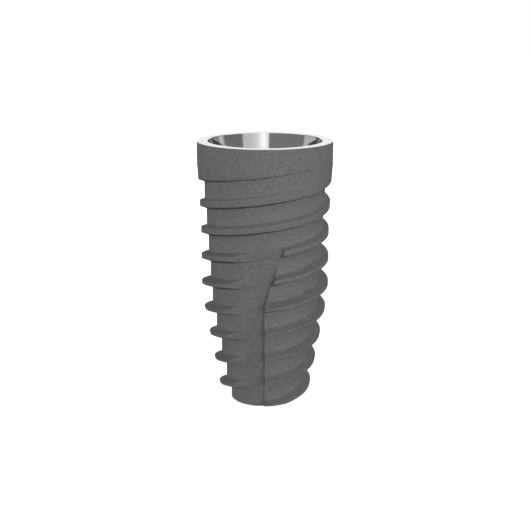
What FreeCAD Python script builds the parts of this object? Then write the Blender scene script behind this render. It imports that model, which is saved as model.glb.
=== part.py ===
import FreeCAD, Part
import math
import os

# Dental implant: a tapered titanium screw that is turned, threaded and milled from one bar.
# Millimetres and degrees. +Z runs up the axis, from the flat apex to the platform.
# The origin is the middle of the apex flat. A depth is measured down from the platform.
# An azimuth is measured from the front (-Y) and grows to the right (+X).

# Body
length = 7.92
collar_diameter = 4.0
collar_height = 0.74
shoulder_height = 0.10
neck_diameter = 3.968
neck_end_depth = 2.30
crest_diameter = 3.806
cone_start_depth = 4.60
cone_angle = 10.2
apex_flat_diameter = 2.0
apex_chamfer_height = 0.15

# Two-start thread, right-handed, cut as two grooves with a flat floor
thread_starts = 2
thread_pitch = 0.80
groove_floor_width = 0.49
groove_flank_angle = 20.0
groove_start_depth = 0.612
groove_start_azimuth = 45.0
groove_entry_cut = 0.012
groove_run_in = 135.0
root_start_diameter = 3.742
root_taper_angle = 3.55
root_cone_start_depth = 4.90
root_cone_angle = 10.3

# Two cutting flutes: a flat floor that leans with the cone, and a steep wall that cuts bone
flute_count = 2
flute_top_depth = 2.83
flute_floor_offset = 1.683
flute_floor_angle = 8.05
flute_wall_twist = 18.0
flute_wall_rake = 4.0

# Connection for the abutment
socket_mouth_diameter = 3.366
socket_cone_angle = 11.0
hex_across_flats = 2.50
hex_corner_radius = 0.15
hex_depth = 2.50
screw_hole_diameter = 1.60
screw_hole_depth = 5.20
screw_hole_lead_in = 0.22
drill_point_angle = 118.0

# Reach of a cutter beyond the metal that it removes, and how finely a groove is followed
clear = 0.20
groove_clear = 0.09
spans_per_turn = 2
sections_per_span = 6

AXIS = FreeCAD.Vector(0, 0, 1)
ORIGIN = FreeCAD.Vector(0, 0, 0)


def slope(angle):
    return math.tan(math.radians(angle))


def point_at(azimuth, radius, depth):
    turned = math.radians(azimuth)
    return FreeCAD.Vector(radius * math.sin(turned), -radius * math.cos(turned), length - depth)


def crest_radius(depth):
    if depth <= collar_height:
        return collar_diameter / 2
    neck_radius = neck_diameter / 2
    shoulder_depth = collar_height + shoulder_height
    if depth <= shoulder_depth:
        share = (depth - collar_height) / shoulder_height
        return collar_diameter / 2 + (neck_radius - collar_diameter / 2) * share
    if depth <= neck_end_depth:
        share = (depth - shoulder_depth) / (neck_end_depth - shoulder_depth)
        return neck_radius + (crest_diameter / 2 - neck_radius) * share
    if depth <= cone_start_depth:
        return crest_diameter / 2
    return crest_diameter / 2 - (depth - cone_start_depth) * slope(cone_angle)


def root_radius(depth):
    straight = min(depth, root_cone_start_depth)
    radius = root_start_diameter / 2 - straight * slope(root_taper_angle)
    return radius - (depth - straight) * slope(root_cone_angle)


def turned_solid(outline):
    points = [FreeCAD.Vector(radius, 0, height) for radius, height in outline]
    wire = Part.makePolygon(points + points[:1])
    return Part.Face(wire).revolve(ORIGIN, AXIS, 360)


def blank():
    chamfer_depth = length - apex_chamfer_height
    outline = [(0, 0), (apex_flat_diameter / 2, 0)]
    corner_depths = [chamfer_depth, cone_start_depth, neck_end_depth,
                     collar_height + shoulder_height, collar_height, 0]
    for depth in corner_depths:
        outline.append((crest_radius(depth), length - depth))
    outline.append((0, length))
    return turned_solid(outline)


def groove_section(turn):
    lead = thread_pitch * thread_starts
    top = groove_start_depth + lead * turn
    bottom = top + groove_floor_width
    middle = (top + bottom) / 2
    share = min(1.0, turn * 360 / groove_run_in)
    full_cut = crest_radius(middle) - root_radius(middle)
    floor = crest_radius(middle) - groove_entry_cut - (full_cut - groove_entry_cut) * share
    outside = crest_radius(middle) + groove_clear
    flare = (outside - floor) * slope(groove_flank_angle)
    azimuth = groove_start_azimuth - 360 * turn
    corners = [(floor, top), (floor, bottom), (outside, bottom + flare), (outside, top - flare)]
    return [point_at(azimuth, radius, depth) for radius, depth in corners]


def groove_cutter():
    lead = thread_pitch * thread_starts
    turns = (length + groove_floor_width - groove_start_depth) / lead
    spans = math.ceil(turns * spans_per_turn)
    count = spans * sections_per_span
    stations = [turns * index / count for index in range(count + 1)]
    sections = [groove_section(turn) for turn in stations]
    curves = []
    for corner in range(4):
        curve = Part.BSplineCurve()
        curve.interpolate(Points=[section[corner] for section in sections], Parameters=stations)
        curves.append(curve)
    faces = []
    for span in range(spans):
        first = stations[span * sections_per_span]
        last = stations[(span + 1) * sections_per_span]
        edges = [curve.toShape(first, last) for curve in curves]
        for corner in range(4):
            faces.append(Part.makeRuledSurface(edges[corner], edges[(corner + 1) % 4]))
    for section in (sections[0], sections[-1]):
        faces.append(Part.Face(Part.makePolygon(section + section[:1])))
    shell = Part.Shell(faces)
    shell.sewShape()
    return Part.Solid(shell)


def thread_cutters():
    cutter = groove_cutter()
    cutters = []
    for start in range(thread_starts):
        copy = cutter.copy()
        copy.rotate(ORIGIN, AXIS, 360 * start / thread_starts)
        cutters.append(copy)
    return cutters


def flute_section(depth, twist):
    floor = flute_floor_offset - (depth - flute_top_depth) * slope(flute_floor_angle)
    outside = collar_diameter / 2 + clear
    crest = crest_radius(depth)
    height = length - depth
    wall = []
    for radius in (floor, outside):
        aside = radius * slope(twist) + (radius - crest) * slope(flute_wall_rake)
        wall.append(FreeCAD.Vector(aside, -radius, height))
    corner, wall_end = wall
    left_end = FreeCAD.Vector(-outside, -outside, height)
    left_floor = FreeCAD.Vector(-outside, -floor, height)
    return Part.makePolygon([corner, wall_end, left_end, left_floor, corner])


def flute_cutters():
    sections = [flute_section(flute_top_depth, flute_wall_twist),
                flute_section(cone_start_depth, 0),
                flute_section(length + clear, 0)]
    cutter = Part.makeLoft(sections, True, True)
    cutters = []
    for index in range(flute_count):
        copy = cutter.copy()
        copy.rotate(ORIGIN, AXIS, 360 * index / flute_count)
        cutters.append(copy)
    return cutters


def socket_cutters():
    mouth = socket_mouth_diameter / 2
    hex_corner = hex_across_flats / 2 / math.cos(math.radians(30))
    cone_depth = (mouth - hex_corner) / slope(socket_cone_angle)
    over = mouth + clear * slope(socket_cone_angle)
    cone = turned_solid([(0, length - cone_depth), (hex_corner, length - cone_depth),
                         (over, length + clear), (0, length + clear)])
    corners = [point_at(30 + 60 * side, hex_corner, hex_depth) for side in range(6)]
    wire = Part.makePolygon(corners + corners[:1])
    hexagon = Part.Face(wire).extrude(AXIS * hex_depth)
    upright = [edge for edge in hexagon.Edges if edge.BoundBox.ZLength > hex_depth / 2]
    hexagon = hexagon.makeFillet(hex_corner_radius, upright)
    hole = screw_hole_diameter / 2
    point_height = hole / slope(drill_point_angle / 2)
    bore = turned_solid([(0, length - screw_hole_depth - point_height),
                         (hole, length - screw_hole_depth),
                         (hole, length - hex_depth - screw_hole_lead_in),
                         (hole + screw_hole_lead_in, length - hex_depth),
                         (hole + screw_hole_lead_in, length - hex_depth + clear),
                         (0, length - hex_depth + clear)])
    return [cone, hexagon, bore]


def implant():
    body = blank()
    for cutter in thread_cutters() + flute_cutters() + socket_cutters():
        body = body.cut(cutter)
    return body


os.makedirs("parts", exist_ok=True)
shape = implant()
shape.exportStep("parts/implant_body.step")
print("solids", len(shape.Solids), "valid", shape.isValid(), "volume", round(shape.Volume, 3))
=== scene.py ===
import math

import bmesh
import bpy
from bpy.props import FloatProperty, FloatVectorProperty, IntProperty, PointerProperty
from mathutils import Matrix, Vector


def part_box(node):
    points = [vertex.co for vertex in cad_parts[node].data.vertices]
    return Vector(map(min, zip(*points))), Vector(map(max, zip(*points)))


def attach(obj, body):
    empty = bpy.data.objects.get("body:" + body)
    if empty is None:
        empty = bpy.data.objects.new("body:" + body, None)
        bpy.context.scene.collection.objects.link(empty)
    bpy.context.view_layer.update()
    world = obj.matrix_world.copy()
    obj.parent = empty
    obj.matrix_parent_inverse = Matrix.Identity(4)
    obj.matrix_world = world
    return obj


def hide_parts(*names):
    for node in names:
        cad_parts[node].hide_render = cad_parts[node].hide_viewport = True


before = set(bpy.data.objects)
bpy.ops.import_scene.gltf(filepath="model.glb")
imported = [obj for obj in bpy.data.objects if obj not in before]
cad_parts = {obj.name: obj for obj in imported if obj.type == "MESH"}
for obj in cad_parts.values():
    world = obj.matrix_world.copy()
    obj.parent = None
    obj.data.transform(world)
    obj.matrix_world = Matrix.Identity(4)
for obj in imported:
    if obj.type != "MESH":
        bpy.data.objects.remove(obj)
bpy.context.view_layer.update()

bl_info = {
    "name": "Dental implant",
    "version": (1, 0, 0),
    "blender": (4, 5, 0),
    "location": "3D View > Sidebar > Implant",
    "description": "Turns, threads and mills a dental implant, and sets up a plain studio for it",
    "category": "Object",
}

MM = 0.001
NODE = "implant_body"
BODY = "root"
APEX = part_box(NODE)[0].z
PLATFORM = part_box(NODE)[1].z
UP = Vector((0, 0, 1))

# Points nearer than this are one point
WELD = 0.0005 * MM
# How far the inner thread's profile starts inside the wall of its hole
OVERLAP = 0.02 * MM
# How far a cutter reaches past the metal that it removes, and the thread past both ends
PAST = 0.2 * MM
THREAD_PAST = 0.25 * MM
# Radius of the rough forms round the body, as a share of the collar's radius
OVERSIZE = 1.2
# Steps in one turn of the body, and of the screw hole
BODY_STEPS = 180
HOLE_STEPS = 72
# Steps in which a flute's wall twists
TWIST_STEPS = 8
# Depth of cut for which the rounding along a groove's edges is drawn, and where the middle
# of that rounding lies, as a share of its radius
TYPICAL_CUT = 0.132 * MM
ARC_MIDDLE = 0.3
# Radii that tell the hollow from the outside: how far they lie past the mouth's wall, how
# much they lean in on the way down, and how far they lie past the inner thread
MOUTH_MARGIN = 0.02 * MM
MOUTH_LEAN = 0.1
TAP_MARGIN = 0.1 * MM
# Edges bent by more than this are shaded as sharp
SHARP_ANGLE = math.radians(32)
# The floor lies this far under the apex, so that the two faces stay apart
FLOOR_GAP = 0.002 * MM

# Lamps: name, azimuth and elevation in degrees, width and height in mm, power in watts
LAMPS = [
    ("key", 2, 13, 50, 12, 0.0208),
    ("fill", 60, 40, 30, 14, 0.006),
    ("left", -115, 2, 30, 14, 0.012),
    ("back", 170, 14, 50, 12, 0.018),
]
LAMP_DISTANCE = 60 * MM
# Cards round the implant that only reflections see: a band of panels, a grey card behind and
# above them, and a black ring over the floor. Radii and heights above the platform are in
# mm, and a span is two azimuths in degrees.
CARD_RADIUS = 14
CARD_STEPS = 48
PANELS_HEIGHTS = (-0.5, 5.5)
PANELS_SPAN = (-165, 165)
BACK_HEIGHTS = (5.5, 16)
BACK_SPAN = (120, 240)
BACK_LEVEL = 0.22
RING_RADIUS = 1.3
RING_HEIGHT = -7.8
# Brightness of the panels, from the left round the front to the right: azimuth and softness
# of each step in degrees, and the brightness after it
PANELS_START = 0.05
PANELS = [
    (-133, 3, 0.585), (-94.5, 1, 0.22), (-8.7, 0.8, 1.0), (-3, 3, 1.3), (11, 6, 0.86),
    (24, 8, 0.68), (50.4, 1, 0.20), (101, 4, 0.70), (114, 3.5, 0.30), (130, 10, 0.24),
]
# The dark hood over the panels: its brightness, its lower edge above the platform at the
# front, how far that edge sinks per radian to the side, and the softness of the edge
HOOD_LEVEL = 0.07
HOOD_EDGE = 5.75 * MM
HOOD_SINK = 2.03 * MM
HOOD_SOFTNESS = 0.1 * MM
# Light of the world on matt surfaces: its strength near the horizon, the heights between
# which it fades, and how much more of it comes from the right
HORIZON = 2.45
HORIZON_FADE = (0.2, 0.45)
HORIZON_LEAN = 0.12


def length_property(name, description, default):
    return FloatProperty(name=name, description=description, default=default * MM,
                         unit="LENGTH", precision=6)


def angle_property(name, description, default):
    return FloatProperty(name=name, description=description, default=math.radians(default),
                         subtype="ANGLE")


class BodySizes(bpy.types.PropertyGroup):
    """Sizes of the turned blank, before the thread is cut."""

    collar_diameter: length_property("Collar diameter", "Across the plain collar", 4.0)
    collar_height: length_property("Collar height", "Plain collar below the platform", 0.74)
    shoulder_height: length_property("Shoulder height", "Small step under the collar", 0.10)
    neck_diameter: length_property("Neck diameter", "Across the crests under the shoulder", 3.968)
    neck_end_depth: length_property("Neck end", "Depth where the crests become parallel", 2.30)
    crest_diameter: length_property("Crest diameter", "Across the parallel crests", 3.806)
    cone_start_depth: length_property("Cone start", "Depth where the crests start to narrow", 4.60)
    cone_angle: angle_property("Cone angle", "Lean of the crests in the lower half", 10.2)
    apex_flat_diameter: length_property("Apex flat", "Across the flat end", 2.0)
    apex_chamfer_height: length_property("Apex chamfer", "Height of the bevelled end", 0.15)
    edge_break: length_property("Edge break", "Width of the broken edge of the platform", 0.008)


class ThreadSizes(bpy.types.PropertyGroup):
    """Sizes of the thread that grips the bone, and of the flutes that cut it."""

    pitch: length_property("Pitch", "From one crest to the next", 0.80)
    starts: IntProperty(name="Starts", description="Separate grooves", default=2, min=1, max=3)
    floor_width: length_property("Floor width", "Flat floor of a groove", 0.49)
    flank_angle: angle_property("Flank angle", "Lean of a groove's walls", 20.0)
    start_depth: length_property("Start depth", "Depth of a groove's upper edge at its start",
                                 0.612)
    start_azimuth: angle_property("Start azimuth", "Where a groove starts, from the front", 45.0)
    entry_cut: length_property("Entry cut", "Depth of cut where a groove starts", 0.012)
    run_in: angle_property("Run-in", "Turn in which a groove reaches its full depth", 135.0)
    root_diameter: length_property("Root diameter", "Across the core, carried up to the platform",
                                   3.742)
    root_taper: angle_property("Root taper", "Lean of the core in the upper half", 3.55)
    root_cone_start: length_property("Root cone start", "Depth where the core starts to narrow",
                                     4.90)
    root_cone_angle: angle_property("Root cone angle", "Lean of the core in the lower half", 10.3)
    corner_radius: length_property("Corner radius", "Rounding along crests and roots", 0.010)
    flutes: IntProperty(name="Flutes", description="Cutting flutes", default=2, min=1, max=4)
    flute_top_depth: length_property("Flute top", "Depth where a flute starts", 2.83)
    flute_floor_offset: length_property("Flute floor", "Axis to floor at the flute's top", 1.683)
    flute_floor_angle: angle_property("Flute floor angle", "Lean of a flute's floor", 8.05)
    flute_wall_twist: angle_property("Flute wall twist", "Azimuth of the wall at the flute's top",
                                     18.0)
    flute_wall_rake: angle_property("Flute wall rake", "Lean of the wall under its cutting edge",
                                    4.0)


class ConnectionSizes(bpy.types.PropertyGroup):
    """Sizes of the hollow that takes the abutment and its screw."""

    mouth_diameter: length_property("Mouth diameter", "Across the mouth of the cone", 3.366)
    cone_angle: angle_property("Cone angle", "Lean of the cone's wall", 11.0)
    hex_across_flats: length_property("Hexagon", "Across the flats of the hexagon", 2.50)
    hex_corner_radius: length_property("Hexagon corners", "Rounding of the hexagon's corners",
                                       0.15)
    hex_depth: length_property("Hexagon depth", "Depth of the hexagon's floor", 2.50)
    hole_diameter: length_property("Screw hole", "Across the tapping-size hole", 1.60)
    hole_depth: length_property("Hole depth", "Depth of the hole's straight wall", 5.20)
    hole_lead_in: length_property("Lead-in", "Chamfer at the mouth of the screw hole", 0.22)
    drill_point: angle_property("Drill point", "Angle of the hole's end", 118.0)
    tap_diameter: length_property("Tap diameter", "Outer diameter of the inner thread", 2.0)
    tap_pitch: length_property("Tap pitch", "Pitch of the inner thread", 0.40)
    tap_depth: length_property("Tap depth", "Depth where the inner thread ends", 4.60)


class FinishSettings(bpy.types.PropertyGroup):
    """Colours and textures of the metal."""

    blasted: FloatVectorProperty(name="Blasted metal", description="Grit-blasted titanium",
                                 default=(0.126, 0.126, 0.126), subtype="COLOR", min=0, max=1)
    polished: FloatVectorProperty(name="Polished metal", description="Polished titanium",
                                  default=(0.72, 0.72, 0.72), subtype="COLOR", min=0, max=1)
    grain: length_property("Grain", "Distance between craters of the blasted surface", 0.024)
    grain_relief: length_property("Grain relief", "Depth of the craters", 0.003)
    grain_contrast: FloatProperty(name="Grain contrast", description="Spread of the grain's tones",
                                  default=0.26)
    grain_strength: FloatProperty(name="Grain strength", description="Share of the relief shown",
                                  default=0.5)
    blasted_gloss: FloatProperty(name="Blasted gloss", description="Gloss of the blasted metal",
                                 default=0.2)
    blasted_roughness: FloatProperty(name="Blasted roughness", default=0.86,
                                     description="Roughness of the smoothest craters")
    blasted_spread: FloatProperty(name="Roughness spread", default=0.12,
                                  description="Roughness that the other craters add to it")
    polished_roughness: FloatProperty(name="Polished roughness", default=0.06,
                                      description="Roughness of the clearest polish")
    haze: FloatProperty(name="Haze", description="Roughness that a faint haze adds", default=0.06)
    haze_size: length_property("Haze size", "Distance between patches of the haze", 0.4)


class StudioSettings(bpy.types.PropertyGroup):
    """The camera and the studio."""

    camera_back: length_property("Camera distance", "Camera in front of the axis", 30.60)
    camera_rise: length_property("Camera rise", "Camera above the platform", 4.135)
    camera_tilt: angle_property("Camera tilt", "Camera looks down by this much", 14.486)
    lens: FloatProperty(name="Lens", description="Focal length of the camera", default=71.25,
                        unit="CAMERA")
    floor_size: length_property("Floor size", "Side of the square floor", 400.0)
    floor_tone: FloatProperty(name="Floor tone", description="Colour of the floor", default=0.80)
    floor_glow: FloatProperty(name="Floor glow", description="Keeps the floor white",
                              default=0.75)


class Form:
    """The implant's radii at each depth below the platform, and the cut of its grooves."""

    def __init__(self, body, thread):
        self.body = body
        self.thread = thread
        self.lead = thread.pitch * thread.starts
        self.first_middle = thread.start_depth + thread.floor_width / 2

    def crest_radius(self, depth):
        """The radius of the turned blank at that depth, which the crests keep."""
        body = self.body
        collar = body.collar_diameter / 2
        neck = body.neck_diameter / 2
        crest = body.crest_diameter / 2
        shoulder_end = body.collar_height + body.shoulder_height
        if depth <= body.collar_height:
            return collar
        if depth <= shoulder_end:
            return collar + (neck - collar) * (depth - body.collar_height) / body.shoulder_height
        if depth <= body.neck_end_depth:
            share = (depth - shoulder_end) / (body.neck_end_depth - shoulder_end)
            return neck + (crest - neck) * share
        return crest - max(0, depth - body.cone_start_depth) * math.tan(body.cone_angle)

    def root_radius(self, depth):
        """The radius of the core at that depth, under grooves of full depth."""
        thread = self.thread
        straight = min(depth, thread.root_cone_start)
        radius = thread.root_diameter / 2 - straight * math.tan(thread.root_taper)
        return radius - (depth - straight) * math.tan(thread.root_cone_angle)

    def floor_radius(self, middle):
        """The radius of a groove's floor where its middle lies at that depth. It is endless
        before the groove starts."""
        crest = self.crest_radius(middle)
        turn = (middle - self.first_middle) / self.lead
        if turn < -WELD / self.lead:
            return math.inf
        share = min(1, turn * 2 * math.pi / self.thread.run_in)
        entry = self.thread.entry_cut
        full = crest - self.root_radius(middle)
        return crest - entry - (full - entry) * share


def new_piece(name, bm):
    """Puts a finished bmesh into the scene as an object, and frees it."""
    mesh = bpy.data.meshes.new(name)
    bm.to_mesh(mesh)
    bm.free()
    piece = bpy.data.objects.new(name, mesh)
    bpy.context.scene.collection.objects.link(piece)
    return piece


def add_line(bm, points):
    """A row of vertices and edges, the outline that a spin turns into a surface."""
    verts = [bm.verts.new(point) for point in points]
    edges = [bm.edges.new(pair) for pair in zip(verts, verts[1:])]
    return verts + edges


def close_ends(bm):
    """Fills each open loop with one flat face, and points all the faces outwards."""
    open_edges = [edge for edge in bm.edges if edge.is_boundary]
    bmesh.ops.holes_fill(bm, edges=open_edges, sides=0)
    bmesh.ops.recalc_face_normals(bm, faces=bm.faces[:])


def turned(name, outline, steps, azimuth=0.0):
    """A solid of revolution from (radius, height) points that start and end on the axis."""
    bm = bmesh.new()
    turn = Matrix.Rotation(azimuth, 4, "Z")
    geometry = add_line(bm, [turn @ Vector((0, -radius, height)) for radius, height in outline])
    bmesh.ops.spin(bm, geom=geometry, cent=(0, 0, 0), axis=UP, dvec=(0, 0, 0),
                   angle=2 * math.pi, steps=steps, use_merge=True)
    bmesh.ops.remove_doubles(bm, verts=bm.verts[:], dist=WELD)
    bmesh.ops.recalc_face_normals(bm, faces=bm.faces[:])
    return new_piece(name, bm)


def trim(bm, low, high):
    """Cuts a tube off square at two heights and closes it."""
    for height, direction in ((low, -1), (high, 1)):
        everything = bm.verts[:] + bm.edges[:] + bm.faces[:]
        bmesh.ops.bisect_plane(bm, geom=everything, dist=WELD, plane_co=(0, 0, height),
                               plane_no=(0, 0, direction), clear_outer=True)
    close_ends(bm)


def helix(bm, points, lead, azimuth, steps):
    """Spins an outline once round the axis while it sinks by one lead, and welds the seam."""
    turn = Matrix.Rotation(azimuth, 4, "Z")
    geometry = add_line(bm, [turn @ Vector((0, -radius, height)) for radius, height in points])
    bmesh.ops.spin(bm, geom=geometry, cent=(0, 0, 0), axis=UP, dvec=(0, 0, -lead / steps),
                   angle=-2 * math.pi, steps=steps, use_merge=False)
    bmesh.ops.remove_doubles(bm, verts=bm.verts[:], dist=WELD)


def groove_outline(form, first, last):
    """The outline of a straight thread, from groove number first down to groove number last.
    Its radius is only a code, 1 mm on a groove's floor and 2 mm on a crest."""
    thread = form.thread
    half_floor = thread.floor_width / 2
    half_pitch = thread.pitch / 2
    rounding = thread.corner_radius
    near = ARC_MIDDLE * rounding
    step = rounding / TYPICAL_CUT
    near_step = ARC_MIDDLE * step
    upper = [(2, -half_pitch), (2, -half_floor - rounding),
             (2 - near_step, -half_floor - near), (2 - step, -half_floor),
             (1 + step, -half_floor), (1 + near_step, -half_floor + near),
             (1, -half_floor + rounding)]
    lower = [(code, -offset) for code, offset in reversed(upper[1:])]
    points = []
    for number in range(first, last + 1):
        middle = form.first_middle + thread.pitch * number
        for code, offset in upper + [(1, 0)] + lower:
            points.append((code * MM, PLATFORM - middle - offset))
    return points


def shape_thread(bm, form):
    """Moves the straight thread's vertices to the implant's own radii, and opens its flanks."""
    thread = form.thread
    half_floor = thread.floor_width / 2
    land = thread.pitch / 2 - half_floor
    flare = math.tan(thread.flank_angle)
    for vert in bm.verts:
        share = math.hypot(vert.co.x, vert.co.y) / MM - 1
        azimuth = math.atan2(vert.co.x, -vert.co.y)
        turn = (thread.start_azimuth - azimuth) / (2 * math.pi) % 1
        if turn > 1 - WELD / form.lead:
            turn -= 1
        depth = PLATFORM - vert.co.z
        first = form.first_middle + form.lead * turn
        middle = first + thread.pitch * round((depth - first) / thread.pitch)
        floor = min(form.floor_radius(middle), form.crest_radius(depth))
        cut = form.crest_radius(depth) - floor
        offset = depth - middle
        side = math.copysign(1, offset)
        from_edge = abs(offset) - half_floor
        if abs(from_edge) < thread.corner_radius + WELD:
            rounding = from_edge * min(1, cut / (4 * thread.corner_radius))
            depth += side * (rounding - from_edge)
            from_edge = rounding
        on_land = min(1, max(0, from_edge / land))
        depth += side * share * cut * flare * (1 - on_land)
        radius = floor + (form.crest_radius(depth) - floor) * share
        vert.co = (radius * math.sin(azimuth), -radius * math.cos(azimuth), PLATFORM - depth)


def threaded_stock(form, steps):
    """The whole thread, run past both ends of the implant, as one closed solid."""
    low = APEX - THREAD_PAST
    high = PLATFORM + THREAD_PAST
    pitch = form.thread.pitch
    first = math.floor((-THREAD_PAST - form.first_middle) / pitch) - form.thread.starts - 1
    last = math.ceil((PLATFORM - low - form.first_middle) / pitch) + form.thread.starts
    bm = bmesh.new()
    helix(bm, groove_outline(form, first, last), form.lead, form.thread.start_azimuth, steps)
    shape_thread(bm, form)
    bmesh.ops.remove_doubles(bm, verts=bm.verts[:], dist=WELD)
    trim(bm, low, high)
    return new_piece(NODE + "_turned", bm)


def end_form(form, steps):
    """What the lathe leaves at both ends: a bevelled apex and a platform with a broken edge."""
    body = form.body
    flat = body.apex_flat_diameter / 2
    chamfer_top = form.crest_radius(PLATFORM - APEX - body.apex_chamfer_height)
    collar = body.collar_diameter / 2
    reach = collar * OVERSIZE
    rise = (reach - flat) * body.apex_chamfer_height / (chamfer_top - flat)
    edge = collar - body.edge_break
    outline = [(0, APEX), (flat, APEX), (reach, APEX + rise), (reach, PLATFORM - reach + edge),
               (edge, PLATFORM), (0, PLATFORM)]
    return turned("end_form", outline, steps, form.thread.start_azimuth)


def flute_form(form):
    """The metal that the flutes remove: a leaning floor, and a wall that faces left."""
    thread = form.thread
    outside = form.body.collar_diameter / 2 * OVERSIZE
    knee = form.body.cone_start_depth
    end = PLATFORM - APEX + PAST
    levels = [(thread.flute_top_depth, thread.flute_wall_twist), (knee, 0), (end, 0)]
    sections = []
    for depth, twist in levels:
        floor = thread.flute_floor_offset
        floor -= (depth - thread.flute_top_depth) * math.tan(thread.flute_floor_angle)
        crest = form.crest_radius(depth)
        height = PLATFORM - depth
        section = []
        for radius in (floor, outside):
            aside = radius * math.tan(twist) + (radius - crest) * math.tan(thread.flute_wall_rake)
            section.append(Vector((aside, -radius, height)))
        sections.append(section + [Vector((-outside, -outside, height)),
                                   Vector((-outside, -floor, height))])
    upper, middle = sections[0], sections[1]
    steps = [[a.lerp(b, index / TWIST_STEPS) for a, b in zip(upper, middle)]
             for index in range(TWIST_STEPS)]
    bm = bmesh.new()
    rings = []
    for section in steps + sections[1:]:
        verts = [bm.verts.new(point) for point in section]
        rings.append([bm.edges.new((verts[index - 1], verts[index])) for index in range(4)])
    for above, below in zip(rings, rings[1:]):
        bmesh.ops.bridge_loops(bm, edges=above + below)
    close_ends(bm)
    first = bm.verts[:] + bm.edges[:] + bm.faces[:]
    bmesh.ops.spin(bm, geom=first, cent=(0, 0, 0), axis=UP, dvec=(0, 0, 0),
                   angle=2 * math.pi * (thread.flutes - 1) / thread.flutes,
                   steps=thread.flutes - 1, use_duplicate=True)
    return new_piece("flute_form", bm)


def socket_form(form, connection, steps):
    """The hollow of the connection as a solid: cone, hexagon and threaded screw hole."""
    mouth = connection.mouth_diameter / 2
    corner = connection.hex_across_flats / 2 / math.cos(math.radians(30))
    cone_depth = (mouth - corner) / math.tan(connection.cone_angle)
    break_width = form.body.edge_break
    cone = turned("socket_form", [
        (0, PLATFORM - cone_depth), (corner, PLATFORM - cone_depth),
        (mouth - break_width * math.tan(connection.cone_angle), PLATFORM - break_width),
        (mouth + break_width, PLATFORM), (mouth + break_width + PAST, PLATFORM + PAST),
        (0, PLATFORM + PAST)], steps)

    bm = bmesh.new()
    bmesh.ops.create_circle(bm, cap_ends=True, segments=6, radius=corner)
    bmesh.ops.rotate(bm, verts=bm.verts[:], cent=(0, 0, 0),
                     matrix=Matrix.Rotation(math.radians(30), 3, "Z"))
    bmesh.ops.translate(bm, verts=bm.verts[:], vec=(0, 0, PLATFORM - connection.hex_depth))
    raised = bmesh.ops.extrude_face_region(bm, geom=bm.faces[:])
    top = [item for item in raised["geom"] if isinstance(item, bmesh.types.BMVert)]
    bmesh.ops.translate(bm, verts=top, vec=UP * (connection.hex_depth - cone_depth / 2))
    upright = [edge for edge in bm.edges if abs(edge.verts[0].co.z - edge.verts[1].co.z) > WELD]
    reach = connection.hex_corner_radius * math.tan(math.radians(30))
    bmesh.ops.bevel(bm, geom=upright, offset=reach, offset_type="OFFSET", segments=5,
                    profile=0.5, affect="EDGES", material=-1)
    bmesh.ops.recalc_face_normals(bm, faces=bm.faces[:])
    carve(cone, new_piece("hexagon", bm), "UNION")

    hole = connection.hole_diameter / 2
    lead_in = connection.hole_lead_in
    floor = PLATFORM - connection.hex_depth
    end = PLATFORM - connection.hole_depth
    carve(cone, turned("hole", [
        (0, end - hole / math.tan(connection.drill_point / 2)), (hole, end),
        (hole, floor - lead_in), (hole + lead_in, floor), (hole + lead_in, floor + PAST),
        (0, floor + PAST)], HOLE_STEPS), "UNION")

    # A standard metric profile, flat for an eighth of the pitch outside and for a quarter
    # inside. It runs on past both ends, where it is trimmed.
    pitch = connection.tap_pitch
    crest = connection.tap_diameter / 2
    root = hole - OVERLAP
    spare = 3
    turns = math.ceil((connection.tap_depth - connection.hex_depth) / pitch) + spare
    points = []
    for number in range(turns):
        height = floor + pitch * (spare / 2 - number)
        points += [(root, height), (root, height - pitch / 4),
                   (crest, height - pitch * 9 / 16), (crest, height - pitch * 11 / 16)]
    bm = bmesh.new()
    helix(bm, points, pitch, 0.0, HOLE_STEPS)
    trim(bm, PLATFORM - connection.tap_depth, floor - lead_in / 2)
    carve(cone, new_piece("tap", bm), "UNION")
    return cone


def carve(piece, tool, operation):
    """Joins, cuts or trims a piece with a tool, which is used up."""
    modifier = piece.modifiers.new("Carve", "BOOLEAN")
    modifier.operation = operation
    modifier.solver = "EXACT"
    modifier.object = tool
    evaluated = piece.evaluated_get(bpy.context.evaluated_depsgraph_get())
    mesh = bpy.data.meshes.new_from_object(evaluated)
    piece.modifiers.clear()
    piece.data = mesh
    bpy.data.objects.remove(tool)


def connection_reach(connection, depth):
    """A radius between the hollow and the outside at that depth, which tells the two apart.
    It leans in less than the cone's own wall does."""
    if depth < connection.hex_depth + WELD:
        return connection.mouth_diameter / 2 + MOUTH_MARGIN - depth * MOUTH_LEAN
    return connection.tap_diameter / 2 + TAP_MARGIN


def finish_mesh(piece, form, connection):
    """Cleans the carved mesh, and gives the platform and the hollow their polish."""
    bm = bmesh.new()
    bm.from_mesh(piece.data)
    bmesh.ops.remove_doubles(bm, verts=bm.verts[:], dist=WELD)
    bmesh.ops.dissolve_degenerate(bm, dist=WELD, edges=bm.edges[:])
    many_sided = [face for face in bm.faces if len(face.verts) > 4]
    bmesh.ops.triangulate(bm, faces=many_sided)
    hollow_end = connection.hole_depth + connection.hole_diameter
    for face in bm.faces:
        middle = face.calc_center_median()
        depth = PLATFORM - middle.z
        radius = math.hypot(middle.x, middle.y)
        inside = depth < hollow_end and radius < connection_reach(connection, depth)
        on_platform = depth < form.body.edge_break / 4
        face.material_index = 1 if inside or on_platform else 0
        face.smooth = True
    bm.to_mesh(piece.data)
    bm.free()
    piece.data.set_sharp_from_angle(angle=SHARP_ANGLE)
    # The apex is shaded flat right up to its bevel
    verts = piece.data.vertices
    for edge in piece.data.edges:
        if all(verts[index].co.z < APEX + WELD for index in edge.vertices):
            edge.use_edge_sharp = True
    weighted = piece.modifiers.new("Weighted normals", "WEIGHTED_NORMAL")
    weighted.keep_sharp = True


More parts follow.
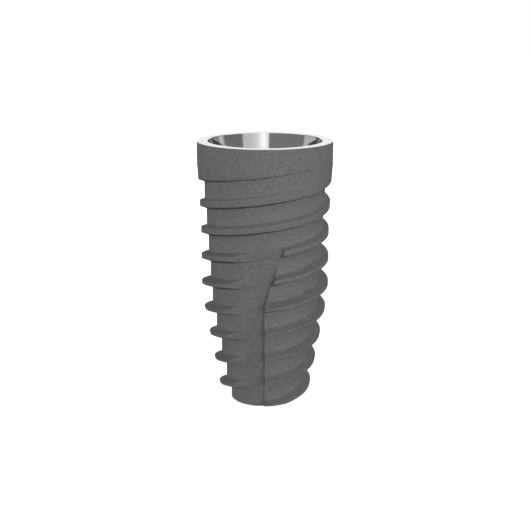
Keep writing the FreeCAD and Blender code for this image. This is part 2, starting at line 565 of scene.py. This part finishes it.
class Signal:
    """A socket of a material, with arithmetic that adds Math nodes."""

    def __init__(self, shader, socket):
        self.shader = shader
        self.socket = socket

    def maths(self, operation, *values):
        node = self.shader.node("ShaderNodeMath", {"operation": operation},
                                dict(enumerate(values)))
        return node.out(0)

    def __add__(self, other):
        return self.maths("ADD", self, other)

    def __radd__(self, other):
        return self.maths("ADD", other, self)

    def __sub__(self, other):
        return self.maths("SUBTRACT", self, other)

    def __rsub__(self, other):
        return self.maths("SUBTRACT", other, self)

    def __mul__(self, other):
        return self.maths("MULTIPLY", self, other)

    def __rmul__(self, other):
        return self.maths("MULTIPLY", other, self)


class Node:
    """A node of a shader tree, whose outputs are signals."""

    def __init__(self, shader, node):
        self.shader = shader
        self.made = node

    def out(self, key):
        return Signal(self.shader, self.made.outputs[key])


class Shader:
    """A material's or the world's node tree, with one method that adds a node."""

    def __init__(self, owner):
        owner.use_nodes = True
        self.tree = owner.node_tree
        self.tree.nodes.clear()

    def node(self, kind, settings=None, inputs=None):
        made = self.tree.nodes.new(kind)
        for name, value in (settings or {}).items():
            setattr(made, name, value)
        for key, value in (inputs or {}).items():
            if isinstance(value, Signal):
                self.tree.links.new(value.socket, made.inputs[key])
            else:
                made.inputs[key].default_value = value
        return Node(self, made)

    def ramp(self, signal, low, high):
        """Signal taken from the range low to high into 0 to 1, and held there."""
        return self.node("ShaderNodeMapRange", {"clamp": True},
                         {"Value": signal, "From Min": low, "From Max": high}).out("Result")

    def blend(self, share, first, second):
        """Two colours mixed by a share: inputs 6 and 7 and output 2 of a Mix node."""
        return self.node("ShaderNodeMix", {"data_type": "RGBA"},
                         {0: share, 6: first, 7: second}).out(2)


def grey(level):
    return (level, level, level, 1.0)


def blasted_titanium(finish):
    """Grit-blasted metal, matt all over: tiny craters of slightly different brightness."""
    material = bpy.data.materials.new("blasted_titanium")
    shader = Shader(material)
    place = shader.node("ShaderNodeTexCoord").out("Object")
    craters = shader.node("ShaderNodeTexVoronoi", {"feature": "F1"}, {
        "Vector": place, "Scale": 1 / finish.grain})
    parts = shader.node("ShaderNodeSeparateColor", None, {"Color": craters.out("Color")})
    tone = parts.out("Red")
    base = finish.blasted[0]
    spread = finish.grain_contrast
    colour = shader.blend(tone, grey(base * (1 - spread)), grey(base * (1 + spread)))
    bump = shader.node("ShaderNodeBump", None, {
        "Height": craters.out("Distance"), "Strength": finish.grain_strength,
        "Distance": finish.grain_relief}).out("Normal")
    surface = shader.node("ShaderNodeBsdfPrincipled", None, {
        "Base Color": colour, "Metallic": 0.0, "Specular IOR Level": finish.blasted_gloss,
        "Roughness": finish.blasted_roughness + tone * finish.blasted_spread,
        "Normal": bump})
    shader.node("ShaderNodeOutputMaterial", None, {"Surface": surface.out("BSDF")})
    return material


def polished_titanium(finish):
    """Polished metal of the platform and the connection."""
    material = bpy.data.materials.new("polished_titanium")
    shader = Shader(material)
    place = shader.node("ShaderNodeTexCoord").out("Object")
    haze = shader.node("ShaderNodeTexNoise", None, {
        "Vector": place, "Scale": 1 / finish.haze_size, "Detail": 3.0}).out("Fac")
    surface = shader.node("ShaderNodeBsdfPrincipled", None, {
        "Base Color": tuple(finish.polished) + (1.0,), "Metallic": 1.0,
        "Roughness": finish.polished_roughness + haze * finish.haze})
    shader.node("ShaderNodeOutputMaterial", None, {"Surface": surface.out("BSDF")})
    return material


class IMPLANT_OT_body(bpy.types.Operator):
    """Turn, thread and mill the implant's one piece"""

    bl_idname = "implant.body"
    bl_label = "Implant body"

    def execute(self, context):
        scene = context.scene
        form = Form(scene.implant_body, scene.implant_thread)
        connection = scene.implant_connection
        steps = BODY_STEPS
        piece = threaded_stock(form, steps)
        carve(piece, flute_form(form), "DIFFERENCE")
        carve(piece, end_form(form, steps), "INTERSECT")
        carve(piece, socket_form(form, connection, steps), "DIFFERENCE")
        piece.data.materials.clear()
        piece.data.materials.append(blasted_titanium(scene.implant_finish))
        piece.data.materials.append(polished_titanium(scene.implant_finish))
        finish_mesh(piece, form, connection)
        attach(piece, BODY)
        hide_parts(NODE)
        return {"FINISHED"}


class IMPLANT_OT_studio(bpy.types.Operator):
    """Set up the floor, the lights and the camera"""

    bl_idname = "implant.studio"
    bl_label = "Studio"

    def execute(self, context):
        scene = context.scene
        studio = scene.implant_studio
        self.add_camera(scene, studio)
        self.add_floor(studio)
        self.add_world(scene)
        self.add_lights(scene)
        scene.view_settings.view_transform = "Standard"
        return {"FINISHED"}

    def add_camera(self, scene, studio):
        """The camera stands straight in front and looks down at the platform."""
        data = bpy.data.cameras.new("camera")
        data.lens = studio.lens
        data.sensor_width = 36
        data.clip_start = 1 * MM
        data.clip_end = 10
        camera = bpy.data.objects.new("camera", data)
        camera.location = (0, -studio.camera_back, PLATFORM + studio.camera_rise)
        camera.rotation_euler = (math.pi / 2 - studio.camera_tilt, 0, 0)
        scene.collection.objects.link(camera)
        scene.camera = camera

    def add_floor(self, studio):
        """A white floor that keeps a shadow. It is white for the camera and in reflections,
        and throws no light up at the matt metal."""
        bm = bmesh.new()
        just_under = Matrix.Translation(UP * (APEX - FLOOR_GAP))
        bmesh.ops.create_grid(bm, x_segments=1, y_segments=1, size=studio.floor_size / 2,
                              matrix=just_under)
        floor = new_piece("floor", bm)
        material = bpy.data.materials.new("floor")
        shader = Shader(material)
        rays = shader.node("ShaderNodeLightPath")
        seen = rays.out("Is Camera Ray") + rays.out("Is Glossy Ray")
        seen = seen + rays.out("Is Transmission Ray")
        white = shader.node("ShaderNodeBsdfPrincipled", None, {
            "Base Color": grey(studio.floor_tone), "Roughness": 0.9,
            "Emission Color": grey(1.0),
            "Emission Strength": seen * studio.floor_glow})
        black = shader.node("ShaderNodeBsdfDiffuse", None, {"Color": grey(0.0)})
        surface = shader.node("ShaderNodeMixShader", None, {
            0: rays.out("Is Diffuse Ray"), 1: white.out("BSDF"), 2: black.out("BSDF")})
        shader.node("ShaderNodeOutputMaterial", None, {"Surface": surface.out("Shader")})
        floor.data.materials.append(material)

    def add_world(self, scene):
        """White surroundings, which light matt surfaces from the horizon only."""
        world = bpy.data.worlds.new("studio")
        scene.world = world
        shader = Shader(world)
        matt = shader.node("ShaderNodeLightPath").out("Is Diffuse Ray")
        place = shader.node("ShaderNodeTexCoord").out("Generated")
        parts = shader.node("ShaderNodeSeparateXYZ", None, {"Vector": place})
        horizon = HORIZON * (1.0 - shader.ramp(parts.out("Z"), *HORIZON_FADE))
        horizon = horizon * (1.0 + HORIZON_LEAN * parts.out("X"))
        background = shader.node("ShaderNodeBackground", None, {
            "Color": grey(1.0), "Strength": 1.0 - matt * (1.0 - horizon)})
        shader.node("ShaderNodeOutputWorld", None, {"Surface": background.out("Background")})

    def add_light(self, scene, name, azimuth, elevation, width, height, power):
        """A soft lamp that faces the middle of the implant and lights matt surfaces only."""
        data = bpy.data.lights.new(name, "AREA")
        data.shape = "RECTANGLE"
        data.size = width * MM
        data.size_y = height * MM
        data.energy = power
        light = bpy.data.objects.new(name, data)
        turn = math.radians(azimuth)
        lift = math.radians(elevation)
        away = Vector((math.sin(turn) * math.cos(lift), -math.cos(turn) * math.cos(lift),
                       math.sin(lift)))
        light.location = UP * (APEX + PLATFORM) / 2 + away * LAMP_DISTANCE
        light.rotation_euler = (math.pi / 2 - lift, 0, turn)
        light.visible_camera = False
        light.visible_glossy = False
        scene.collection.objects.link(light)

    def add_card(self, name, points, span, glow):
        """A sheet spun round the implant that only reflections see. Its outline is in mm, as
        radius and height above the platform, and its span is two azimuths in degrees. Glow is
        given the card's shader and returns the brightness."""
        first, last = (math.radians(azimuth) for azimuth in span)
        bm = bmesh.new()
        turn = Matrix.Rotation(first, 4, "Z")
        geometry = add_line(bm, [turn @ Vector((0, -radius * MM, PLATFORM + height * MM))
                                 for radius, height in points])
        bmesh.ops.spin(bm, geom=geometry, cent=(0, 0, 0), axis=UP, dvec=(0, 0, 0),
                       angle=last - first, steps=CARD_STEPS)
        card = new_piece(name, bm)
        material = bpy.data.materials.new(name)
        shader = Shader(material)
        light = shader.node("ShaderNodeEmission", None, {
            "Color": grey(1.0), "Strength": glow(shader)})
        shader.node("ShaderNodeOutputMaterial", None, {"Surface": light.out("Emission")})
        card.data.materials.append(material)
        card.visible_camera = False
        card.visible_diffuse = False
        card.visible_shadow = False

    def panels(self, shader):
        """Bright panels and dark gaps round the mouth, under a dark hood."""
        place = shader.node("ShaderNodeTexCoord").out("Object")
        parts = shader.node("ShaderNodeSeparateXYZ", None, {"Vector": place})
        azimuth = parts.out("X").maths("ARCTAN2", parts.out("X"), 0.0 - parts.out("Y"))
        level = before = PANELS_START
        for step, softness, after in PANELS:
            low, high = math.radians(step - softness), math.radians(step + softness)
            level = shader.ramp(azimuth, low, high) * (after - before) + level
            before = after
        aside = azimuth.maths("ABSOLUTE", azimuth)
        above = parts.out("Z") - (PLATFORM + HOOD_EDGE) + aside * HOOD_SINK
        hood = shader.ramp(above, -HOOD_SOFTNESS, HOOD_SOFTNESS)
        return level + hood * (HOOD_LEVEL - level)

    def add_lights(self, scene):
        """The lamps for the matt metal, and the cards for the polish."""
        for lamp in LAMPS:
            self.add_light(scene, *lamp)
        panels = [(CARD_RADIUS, height) for height in PANELS_HEIGHTS]
        back = [(CARD_RADIUS, height) for height in BACK_HEIGHTS]
        low = [(RING_RADIUS, RING_HEIGHT), (CARD_RADIUS, RING_HEIGHT), panels[0]]
        self.add_card("panels", panels, PANELS_SPAN, self.panels)
        self.add_card("back_card", back, BACK_SPAN, lambda shader: BACK_LEVEL)
        self.add_card("low_card", low, (0, 360), lambda shader: 0.0)


class IMPLANT_PT_panel(bpy.types.Panel):
    """The implant's sizes and steps"""

    bl_idname = "IMPLANT_PT_panel"
    bl_label = "Dental implant"
    bl_space_type = "VIEW_3D"
    bl_region_type = "UI"
    bl_category = "Implant"

    def draw(self, context):
        layout = self.layout
        for group in GROUPS:
            box = layout.box()
            settings = getattr(context.scene, group)
            for name in settings.bl_rna.properties.keys():
                if name not in {"rna_type", "name"}:
                    box.prop(settings, name)
        for operator in (IMPLANT_OT_body, IMPLANT_OT_studio):
            layout.operator(operator.bl_idname)


GROUPS = {
    "implant_body": BodySizes,
    "implant_thread": ThreadSizes,
    "implant_connection": ConnectionSizes,
    "implant_finish": FinishSettings,
    "implant_studio": StudioSettings,
}
CLASSES = list(GROUPS.values()) + [IMPLANT_OT_body, IMPLANT_OT_studio, IMPLANT_PT_panel]


def register():
    for cls in CLASSES:
        bpy.utils.register_class(cls)
    for name, group in GROUPS.items():
        setattr(bpy.types.Scene, name, PointerProperty(type=group))


def unregister():
    for name in GROUPS:
        delattr(bpy.types.Scene, name)
    for cls in reversed(CLASSES):
        bpy.utils.unregister_class(cls)


def main():
    register()
    bpy.ops.implant.body()
    bpy.ops.implant.studio()


if __name__ == "__main__":
    main()
